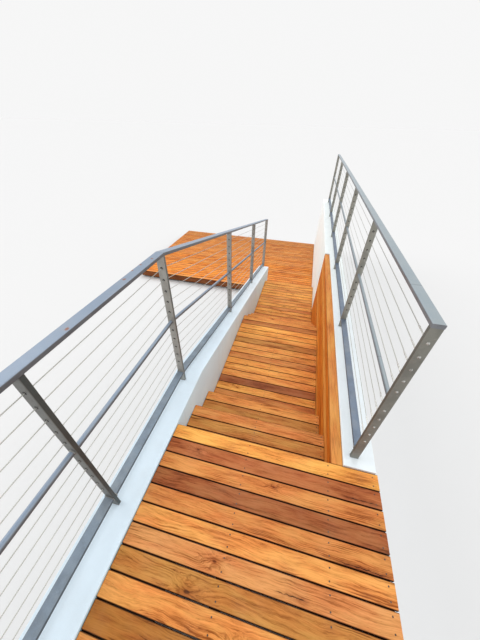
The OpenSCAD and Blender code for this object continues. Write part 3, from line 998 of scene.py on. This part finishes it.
@dataclass
class Screws:
    """Pairs of screw heads where boards cross what carries them, but for the carrier at clear_to."""

    boards: tuple[str, ...]
    carriers: str
    name: str
    face: int = 2
    outward: int = 1
    apart: float = 0.05
    radius: float = 0.0038
    depth: float = 0.0014
    proud: float = 0.0003
    clear_to: float = STAIR.x + 0.0225
    strays: Point = (0.003, 0.002)

    def head(self) -> BMesh:
        """Makes a screw head that looks up, with its drive recess in a near-black finish as painted shade.

        Returns:
            The head, at the origin.
        """
        bm = bmesh.new()
        placing = Matrix.Translation((0, 0, self.proud - self.depth / 2))
        bmesh.ops.create_cone(bm, cap_ends=True, segments=8, radius1=self.radius * 0.7, radius2=self.radius,
                              depth=self.depth, matrix=placing)
        top = max(bm.faces, key=lambda f: f.calc_center_median().z)
        bmesh.ops.inset_region(bm, faces=[top], thickness=self.radius * 0.55, depth=-0.0002)
        # painted shade: the recess takes the near-black finish
        top.material_index = 1
        return bm

    def build(self) -> bpy.types.Object:
        """Builds the heads.

        Returns:
            The piece.
        """
        rng = random.Random(self.name)
        bm = bmesh.new()
        run = 0 if self.face == 2 else 1
        cross = 3 - run - self.face
        axis = Vector([self.outward if a == self.face else 0 for a in range(3)])
        carriers = [c for c in solids(self.carriers) if abs(c.mid[run] - self.clear_to) >= 0.1]
        for board in solids(*self.boards):
            for carrier in carriers:
                if not board.spans(carrier.mid[run], run) or not carrier.spans(board.mid[cross], cross):
                    continue
                for side in (-1, 1):
                    place = board.mid.copy()
                    place[run] = carrier.mid[run] + rng.uniform(-self.strays[0], self.strays[0])
                    place[cross] += side * self.apart / 2 + rng.uniform(-self.strays[1], self.strays[1])
                    place[self.face] = (board.high if self.outward > 0 else board.low)[self.face]
                    head = self.head()
                    head.transform(turned(place, axis) @ Matrix.Rotation(rng.uniform(0, math.pi), 4, "Z"))
                    add_mesh(bm, head)
        return finished(self.name, bm, [Look.SCREWS, Look.GROMMETS])


# ---- walls -------------------------------------------------------------------------------------


@dataclass
class Wall:
    """A rendered wall with rounded arrises and a slightly uneven face."""

    node: str
    look: Look
    arris: float = 0.004
    grid: float = 0.22
    uneven: float = 0.0018
    swells: float = 2.3
    foot: float = 0.02

    def build(self) -> bpy.types.Object:
        """Builds the wall.

        Returns:
            The piece, which stands for the CAD node.
        """
        bm = merged(self.node)
        low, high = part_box(self.node)
        sharp = [e for e in bm.edges if len(e.link_faces) == 2 and e.calc_face_angle() > 0.2]
        eased(bm, sharp, self.arris, 3)
        for axis in range(3):
            normal = Vector([1.0 if a == axis else 0.0 for a in range(3)])
            steps = int((high[axis] - low[axis]) / self.grid)
            for step in range(1, steps + 1):
                place = low.copy()
                place[axis] += (high[axis] - low[axis]) * step / (steps + 1)
                bmesh.ops.bisect_plane(bm, geom=[*bm.verts, *bm.edges, *bm.faces], plane_co=place,
                                       plane_no=normal, dist=1e-5)
        bm.normal_update()
        for vert in bm.verts:
            if vert.co.z > low.z + self.foot:
                swell = 0.5 + 0.5 * noise.noise(vert.co * self.swells)
                vert.co -= vert.normal * self.uneven * max(0.0, min(1.0, swell))
        piece = finished(self.node + "_render", bm, [self.look], [self.node], smooth=50.0)
        piece.modifiers.new("even normals", "WEIGHTED_NORMAL").keep_sharp = True
        return piece


# ---- balustrades -------------------------------------------------------------------------------


@dataclass(frozen=True)
class Strand:
    """The middle line of a round bar or wire that runs along the stairs."""

    start: Vector
    end: Vector

    def at(self, y: float) -> Vector:
        """Returns the point of the line at a place along the stairs."""
        return self.start.lerp(self.end, (y - self.start.y) / (self.end.y - self.start.y))

    def away(self, out: Vector) -> Vector:
        """Returns its direction, down or up the stairs as another one goes."""
        ahead = (self.end - self.start).normalized()
        return ahead if out is DOWN_STAIRS else -ahead


def strands(nodes: Iterable[str], radius: float) -> list[Strand]:
    """Finds the middle lines of the bars of CAD nodes.

    Args:
        nodes: the nodes' names.
        radius: the bars' radius.

    Returns:
        The lines, each level or falling.
    """
    lines = []
    for box in solids(*nodes):
        fall = box.size.z - 2 * radius
        edge = radius if fall < radius else radius * math.sqrt(1 + (fall / box.size.y) ** 2)
        lines.append(Strand(Vector((box.mid.x, box.low.y, box.high.z - edge)),
                            Vector((box.mid.x, box.high.y, box.low.z + edge))))
    return lines


@dataclass
class WireFittings:
    """What the wires and middle rail meet at the posts of one balustrade."""

    side: str
    posts: str
    wires: tuple[str, ...]
    bars: tuple[str, ...]
    wire_radius: float = 0.002
    bar_radius: float = 0.0125
    rim_radius: float = 0.0075
    washer_radius: float = 0.0076
    dome_radius: float = 0.0054
    dome_foot: float = 0.0028
    terminal_radius: float = 0.0033
    terminal_length: float = 0.1

    def rim(self, place: Vector, out: Vector) -> BMesh:
        """Makes the dark rim of a wire's hole: a near-black disc that is painted shade in the hole.

        Args:
            place: the hole's middle on the post's face.
            out: the way that the face looks.

        Returns:
            The rim.
        """
        radius = self.rim_radius
        profile = ((0, -0.0008), (radius, -0.0008), (radius, 0.0003), (radius * 0.84, 0.0009),
                   (radius * 0.6, 0.0007), (radius * 0.5, 0.0002), (0, 0.0002))
        return disc(profile, 12, turned(place, out))

    def nut(self, place: Vector, out: Vector) -> BMesh:
        """Makes a button head with a socket, on its washer.

        Args:
            place: the middle of the hole on the post's outer face.
            out: the way that the face looks.

        Returns:
            The nut.
        """
        dome, foot, washer = self.dome_radius, self.dome_foot, self.washer_radius
        profile = [(0, -0.0005), (washer - 0.0002, -0.0005), (washer, 0.0008), (washer - 0.0004, 0.0012),
                   (dome, 0.0013), (dome, foot)]
        for angle in (step * math.pi / 9 for step in range(1, 4)):
            profile.append((dome * math.cos(angle), foot + 0.8 * dome * math.sin(angle)))
        profile += [(dome * 0.42, foot + 0.7 * dome), (dome * 0.38, foot + 0.0004), (0, foot + 0.0002)]
        return disc(profile, 12, turned(place, out))

    def terminal(self, place: Vector, along: Vector) -> BMesh:
        """Makes the swaged terminal of a wire.

        Args:
            place: where it leaves the post.
            along: the wire's direction away from the post.

        Returns:
            The terminal.
        """
        radius, length = self.terminal_radius, self.terminal_length
        flange, sleeve = radius * 1.45, radius * 1.15
        profile = ((0, -0.001), (flange, -0.001), (flange, 0.005), (radius, 0.0065), (radius, length * 0.3),
                   (sleeve, length * 0.31), (sleeve, length * 0.9), (radius * 0.8, length), (0, length))
        return disc(profile, 10, turned(place, along))

    def collar(self, place: Vector, along: Vector) -> BMesh:
        """Makes the weld round the middle rail where it meets a post.

        Args:
            place: the rail's middle on the post's face.
            along: the rail's direction away from the post.

        Returns:
            The weld.
        """
        radius = self.bar_radius
        profile = ((0, -0.002), (radius + 0.004, -0.002), (radius + 0.0036, 0.0012), (radius + 0.0008, 0.0042),
                   (0, 0.0044))
        return disc(profile, 20, turned(place, along))

    def build(self) -> None:
        """Builds the rims, nuts, terminals and welds as one piece each."""
        posts = solids(self.posts)
        rims, nuts, terminals, welds = (bmesh.new() for _ in range(4))
        faces = [(post, face, out) for post in posts
                 for face, out in ((post.low.y, UP_STAIRS), (post.high.y, DOWN_STAIRS))]
        outward = {id(posts[0]): UP_STAIRS, id(posts[-1]): DOWN_STAIRS}
        for line in strands(self.wires, self.wire_radius):
            for post, face, out in faces:
                passed = line.start.y - 1e-4 <= post.mid.y <= line.end.y - 1e-4
                if not passed and not (post is posts[-1] and post.mid.y <= line.end.y):
                    continue
                end_out = outward.get(id(post))
                if end_out is None:
                    add_mesh(rims, self.rim(line.at(face), out))
                elif out is end_out:
                    add_mesh(nuts, self.nut(line.at(face), out))
                else:
                    add_mesh(terminals, self.terminal(line.at(face), line.away(out)))
        for line in strands(self.bars, self.bar_radius):
            for _, face, out in faces:
                on_bar = line.start.y - 1e-3 <= face <= line.end.y + 1e-3
                if on_bar and line.start.y <= face + out.y * 0.01 <= line.end.y:
                    add_mesh(welds, self.collar(line.at(face), line.away(out)))
        for name, bm, look in (("hole_shades", rims, Look.GROMMETS), ("dome_nuts", nuts, Look.NUTS),
                               ("wire_terminals", terminals, Look.NUTS), ("rail_collars", welds, Look.WELDS)):
            finished(self.side + "_" + name, bm, [look], smooth=40.0)


@dataclass
class Welds:
    """Beads where flat tubes meet posts, and the seals at the posts' feet."""

    side: str
    posts: str
    rails: tuple[str, ...]
    rail_depth: float = 0.0202
    bead: float = 0.0022
    width: float = 0.005
    ragged: float = 0.0003
    seal_width: float = 0.0014
    seal_heights: Point = (-0.004, 0.0015)
    seal_ease: float = 0.0009

    def band(self, low: Vector, high: Vector, rng: random.Random) -> BMesh:
        """Makes a bead round a section, a little uneven as by hand.

        Args:
            low: the lowest corner of what it goes round.
            high: its highest corner.
            rng: gives the unevenness.

        Returns:
            The bead.
        """
        grow = Vector((self.bead, 0.0, self.bead))
        bm = block(Box(low - grow, high + grow), self.bead * 0.9)
        for vert in bm.verts:
            vert.co += Vector([rng.uniform(-self.ragged, self.ragged) for _ in range(3)])
        return bm

    def build(self) -> None:
        """Builds the beads and the seals."""
        rng = random.Random(self.side)
        beads, seals = bmesh.new(), bmesh.new()
        for rail in solids(*self.rails):
            depth = rail.size.z - max(0.0, rail.size.z - self.rail_depth)
            for y, top, inward in ((rail.low.y, rail.high.z, self.width),
                                   (rail.high.y, rail.low.z + depth, -self.width)):
                ends = sorted((y - inward * 0.2, y + inward * 0.8))
                add_mesh(beads, self.band(Vector((rail.low.x, ends[0], top - depth)),
                                          Vector((rail.high.x, ends[1], top)), rng))
        for post in solids(self.posts):
            below, above = (Vector((0.0, 0.0, height)) for height in self.seal_heights)
            grow = Vector((self.seal_width, self.seal_width, 0.0))
            high = Vector((post.high.x, post.high.y, post.low.z)) + above + grow
            add_mesh(seals, block(Box(post.low - grow + below, high), self.seal_ease))
        finished(self.side + "_rail_welds", beads, [Look.WELDS], smooth=50.0)
        finished(self.side + "_post_seals", seals, [Look.SEALS], smooth=50.0)


# ---- the scene around it -----------------------------------------------------------------------


@dataclass
class Viewpoint:
    """The camera at the photo's angle, with its place from the landing's edge and its turns in radians."""

    place: Vector
    yaw: float
    pitch: float
    roll: float
    focal_px: float
    frame_px: int = 640
    sensor: float = 36.0

    def build(self) -> None:
        """Places the camera."""
        flat = math.cos(self.pitch)
        ahead = Vector((math.sin(self.yaw) * flat, math.cos(self.yaw) * flat, -math.sin(self.pitch)))
        level = Vector((math.cos(self.yaw), -math.sin(self.yaw), 0.0))
        below = ahead.cross(level)
        right = math.cos(self.roll) * level + math.sin(self.roll) * below
        down = math.cos(self.roll) * below - math.sin(self.roll) * level
        placing = Matrix((right, -down, -ahead)).transposed().to_4x4()
        placing.translation = STAIR + self.place
        camera = bpy.data.cameras.new("camera")
        camera.lens = self.focal_px * self.sensor / self.frame_px
        camera.sensor_width = self.sensor
        camera.clip_start, camera.clip_end = 0.01, 1500.0
        holder = bpy.data.objects.new("camera", camera)
        holder.matrix_world = placing
        bpy.context.scene.collection.objects.link(holder)
        bpy.context.scene.camera = holder


@dataclass
class Lamp:
    """A soft, distant studio lamp: the way to it, its strength, and its width in degrees."""

    name: str
    source: Vector
    strength: float
    softness: float

    def build(self) -> float:
        """Places the lamp.

        Returns:
            How bright it makes a white level floor.
        """
        data = bpy.data.lights.new(self.name, "SUN")
        data.energy = self.strength
        data.angle = math.radians(self.softness)
        holder = bpy.data.objects.new(self.name, data)
        holder.rotation_euler = self.source.to_track_quat("Z", "Y").to_euler()
        bpy.context.scene.collection.objects.link(holder)
        return self.strength * self.source.normalized().z / math.pi


@dataclass
class Studio:
    """Pale floor, even backdrop and soft light."""

    ambient: float
    lamps: tuple[Lamp, ...]
    floor_white: float = 0.74
    reach: float = 600.0

    def build(self) -> None:
        """Builds the floor, the lamps and the world."""
        level = self.floor_white * (self.ambient + sum(lamp.build() for lamp in self.lamps))
        bm = bmesh.new()
        bmesh.ops.create_grid(bm, x_segments=2, y_segments=2, size=self.reach)
        mesh = bpy.data.meshes.new("floor")
        bm.to_mesh(mesh)
        bm.free()
        floor = bpy.data.objects.new("floor", mesh)
        bpy.context.scene.collection.objects.link(floor)
        material = bpy.data.materials.new("pale_floor")
        material.use_nodes = True
        shader = material.node_tree.nodes["Principled BSDF"]
        shader.inputs["Base Color"].default_value = (self.floor_white,) * 3 + (1.0,)
        shader.inputs["Roughness"].default_value = 1.0
        shader.inputs["Specular IOR Level"].default_value = 0.0
        mesh.materials.append(material)
        self.world(level)

    def world(self, level: float) -> None:
        """Makes the world light evenly and show the floor's own white.

        Args:
            level: the white that the camera and reflections see.
        """
        world = bpy.data.worlds.new("studio")
        world.use_nodes = True
        bpy.context.scene.world = world
        world.node_tree.nodes.clear()
        w = Wiring(world.node_tree)
        path = w.add("LightPath").outputs
        seen = w.calc("MAXIMUM", path["Is Camera Ray"], path["Is Glossy Ray"])
        seen = w.calc("MAXIMUM", seen, path["Is Transmission Ray"])
        strength = w.scaled(seen, level - self.ambient, self.ambient)
        shade = w.add("Background", {"Color": (1.0, 1.0, 1.0, 1.0), "Strength": strength})
        w.add("OutputWorld", {"Surface": shade.outputs[0]})


# ---- the stairs --------------------------------------------------------------------------------


def planks() -> list[Timber]:
    """Lists the boards that show, with the tones and marks that the photo gives them.

    Returns:
        The landing, treads, risers, platforms, lower deck, fascias and cladding.
    """
    landing = {-1: Tone.GOLD, -2: Tone.RED, -3: Tone.ORANGE, -4: Tone.DARK, -5: Tone.ORANGE, -6: Tone.HONEY,
               -7: Tone.BLUSH, -8: Tone.OLIVE, -9: Tone.HONEY, -10: Tone.BROWN}
    knots = {-2: Mark(-0.45, 0.01, 0.008), -3: Mark(0.05, 0.012, 0.006), -7: Mark(-0.18, 0.004, 0.009),
             -8: Mark(-0.27, -0.028, 0.012), -9: Mark(0.0, -0.022, 0.008)}
    veins = {-2: Mark(0.54, -0.026, 0.14), -5: Mark(0.52, -0.036, 0.16), -7: Mark(0.19, -0.02, 0.1)}
    upper = {0: Tone.ORANGE, 1: Tone.TAN, 3: Tone.DARK, 4: Tone.HONEY, 7: Tone.ORANGE, 10: Tone.OLIVE,
             12: Tone.GOLD, 13: Tone.GOLD, 14: Tone.TAN}
    lower = {2: Tone.ORANGE, 5: Tone.ORANGE, 14: Tone.GOLD, 15: Tone.GOLD}
    clad = {-1: Tone.RESIN, -2: Tone.GOLD, -3: Tone.AMBER, -4: Tone.RESIN, -6: Tone.GOLD}
    pale = (Tone.GOLD, Tone.HONEY)
    flight = (("upper_platform", upper), ("tread_3", {1: Tone.HONEY}), ("tread_4", {}),
              ("lower_platform", lower))
    return [
        Timber("landing_boards", Look.BOARDS, landing, knots, veins),
        Timber("tread_1", Look.BOARDS, {1: Tone.OLIVE, 2: Tone.ORANGE}),
        Timber("tread_2", Look.BOARDS, {1: Tone.OLIVE, 2: Tone.HONEY}),
        Timber("upper_risers", Look.BOARDS),
        Timber("lower_risers", Look.BOARDS),
        # The flight's and the lower deck's boards are brightened with painted light; the lower deck darkens
        # toward its last rows
        *(Timber(node, Look.BOARDS, tones, others=pale, light=1.1) for node, tones in flight),
        Timber("lower_deck", Look.BOARDS, others=(Tone.AMBER, Tone.HONEY), light=1.2, fade=0.42),
        # The fascias' dark tones are painted shade.
        *(Timber(node, Look.BOARDS, others=(Tone.STALE, Tone.DARK), shown=-1)
          for node in ("front_fascia", "side_fascia")),
        Timber("cladding_boards", Look.CLAD, clad, others=(Tone.AMBER, Tone.RESIN), shown=-1),
        Timber("cladding_cap", Look.CLAD, others=pale)]


def framing() -> list[Timber]:
    """Lists the sawn timber under the boards and behind the cladding.

    Returns:
        The joists, bearers and battens.
    """
    nodes = ("upper_step_joists", "upper_platform_joists", "upper_platform_bearer", "lower_step_joists",
             "lower_platform_joists", "lower_platform_bearer", "landing_joists", "landing_bearers",
             "deck_joists", "deck_bearers", "cladding_battens")
    # Their dark tones are sawn timber's own colour, made darker still as painted shade under the boards
    return [Timber(node, Look.FRAMING, others=(Tone.RAW, Tone.STALE), knot_share=0.0, vein_share=0.0)
            for node in nodes]


def screws() -> list[Screws]:
    """Lists the screws of each group of boards.

    Returns:
        The screws, the cladding's last.
    """
    return [Screws(("landing_boards",), "landing_joists", "landing_screws"),
            Screws(("tread_1", "tread_2"), "upper_step_joists", "upper_tread_screws"),
            Screws(("upper_platform",), "upper_platform_joists", "upper_platform_screws"),
            Screws(("tread_3", "tread_4"), "lower_step_joists", "lower_tread_screws"),
            Screws(("lower_platform",), "lower_platform_joists", "lower_platform_screws"),
            Screws(("lower_deck",), "deck_joists", "deck_screws"),
            Screws(("cladding_boards",), "cladding_battens", "cladding_screws", face=0, outward=-1,
                   clear_to=-math.inf)]


def main() -> None:
    """Builds the whole scene."""
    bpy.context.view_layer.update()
    bpy.context.scene.view_settings.view_transform = "Standard"
    Viewpoint(Vector((0.6191, -0.8275, 1.6655)), yaw=-0.231, pitch=0.662, roll=-0.025,
              focal_px=254.835).build()
    Studio(ambient=0.58, lamps=(Lamp("key", Vector((0.05, 0.55, 0.83)), 1.16, 40.0),
                                Lamp("left", Vector((-0.85, 0.1, 0.5)), 1.2, 50.0),
                                Lamp("right", Vector((0.8, 0.0, 0.6)), 0.9, 50.0))).build()
    walls = (Wall("left_wall", Look.LEFT_WALL), Wall("right_wall", Look.RIGHT_WALL))
    for piece in (*planks(), *framing(), *screws(), *walls):
        piece.build()
    left_wires, left_bars = (tuple(f"left_{kind}_{part}" for part in ("level", "sloped"))
                             for kind in ("wires", "mid_rail"))
    left_low = ("left_bottom_rail_level", "left_bottom_rail_sloped")
    carried(Look.LEFT_RAILS, "left_top_rail_level", "left_top_rail_sloped", *left_bars)
    carried(Look.RIGHT_RAILS, "right_top_rail", "right_mid_rail")
    carried(Look.LEFT_LOW_RAILS, *left_low)
    carried(Look.RIGHT_LOW_RAILS, "right_bottom_rail")
    carried(Look.LEFT_POSTS, "left_posts")
    carried(Look.RIGHT_POSTS, "right_posts")
    WireFittings("left", "left_posts", left_wires, left_bars).build()
    WireFittings("right", "right_posts", ("right_wires",), ("right_mid_rail",)).build()
    Welds("left", "left_posts", left_low).build()
    Welds("right", "right_posts", ("right_bottom_rail",)).build()
    carried(Look.LEFT_WIRES, *left_wires)
    carried(Look.RIGHT_WIRES, "right_wires")


if __name__ == "__main__":
    main()
